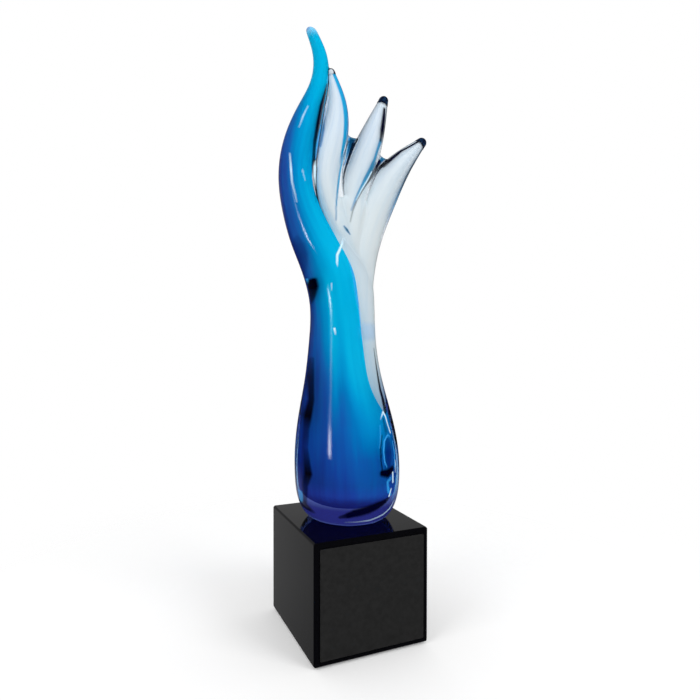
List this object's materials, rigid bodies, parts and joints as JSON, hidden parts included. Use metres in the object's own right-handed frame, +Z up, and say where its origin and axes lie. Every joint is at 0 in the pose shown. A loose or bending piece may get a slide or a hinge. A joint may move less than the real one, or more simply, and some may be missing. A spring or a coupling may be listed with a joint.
{
  "type": "glass wave sculpture",
  "caption": "Free-standing art glass wave: a blue flame and white fingers in clear casing, rising from a round blue bulb bonded to a black crystal cube.",
  "frame": {"origin": "middle of the felt pad's underside, on the surface that the part stands on", "axes": "+Z up the glass, -Y out of the plate on the cube's front, +X to the side that the fingers reach to"},
  "size_m": [0.1069, 0.077, 0.3865],
  "materials": {
    "black_crystal": "polished",
    "black_felt": "napped",
    "adhesive_tape": "matte",
    "black_plate": "satin",
    "clear_adhesive": "clear",
    "blue_glass": "fire polished",
    "opal_glass": "fire polished",
    "cobalt_glass": "fire polished",
    "clear_glass": "fire polished"
  },
  "bodies": {
    "root": {"base_block": "black_crystal", "felt_pad": "black_felt", "plate_tape": "adhesive_tape", "engraving_plate": "black_plate", "bond_disc": "clear_adhesive", "blue_core": "blue_glass", "opal_core": "opal_glass", "fingertip_upper": "cobalt_glass", "fingertip_middle": "cobalt_glass", "fingertip_lower": "cobalt_glass", "clear_casing": "clear_glass"}
  },
  "joints": []
}
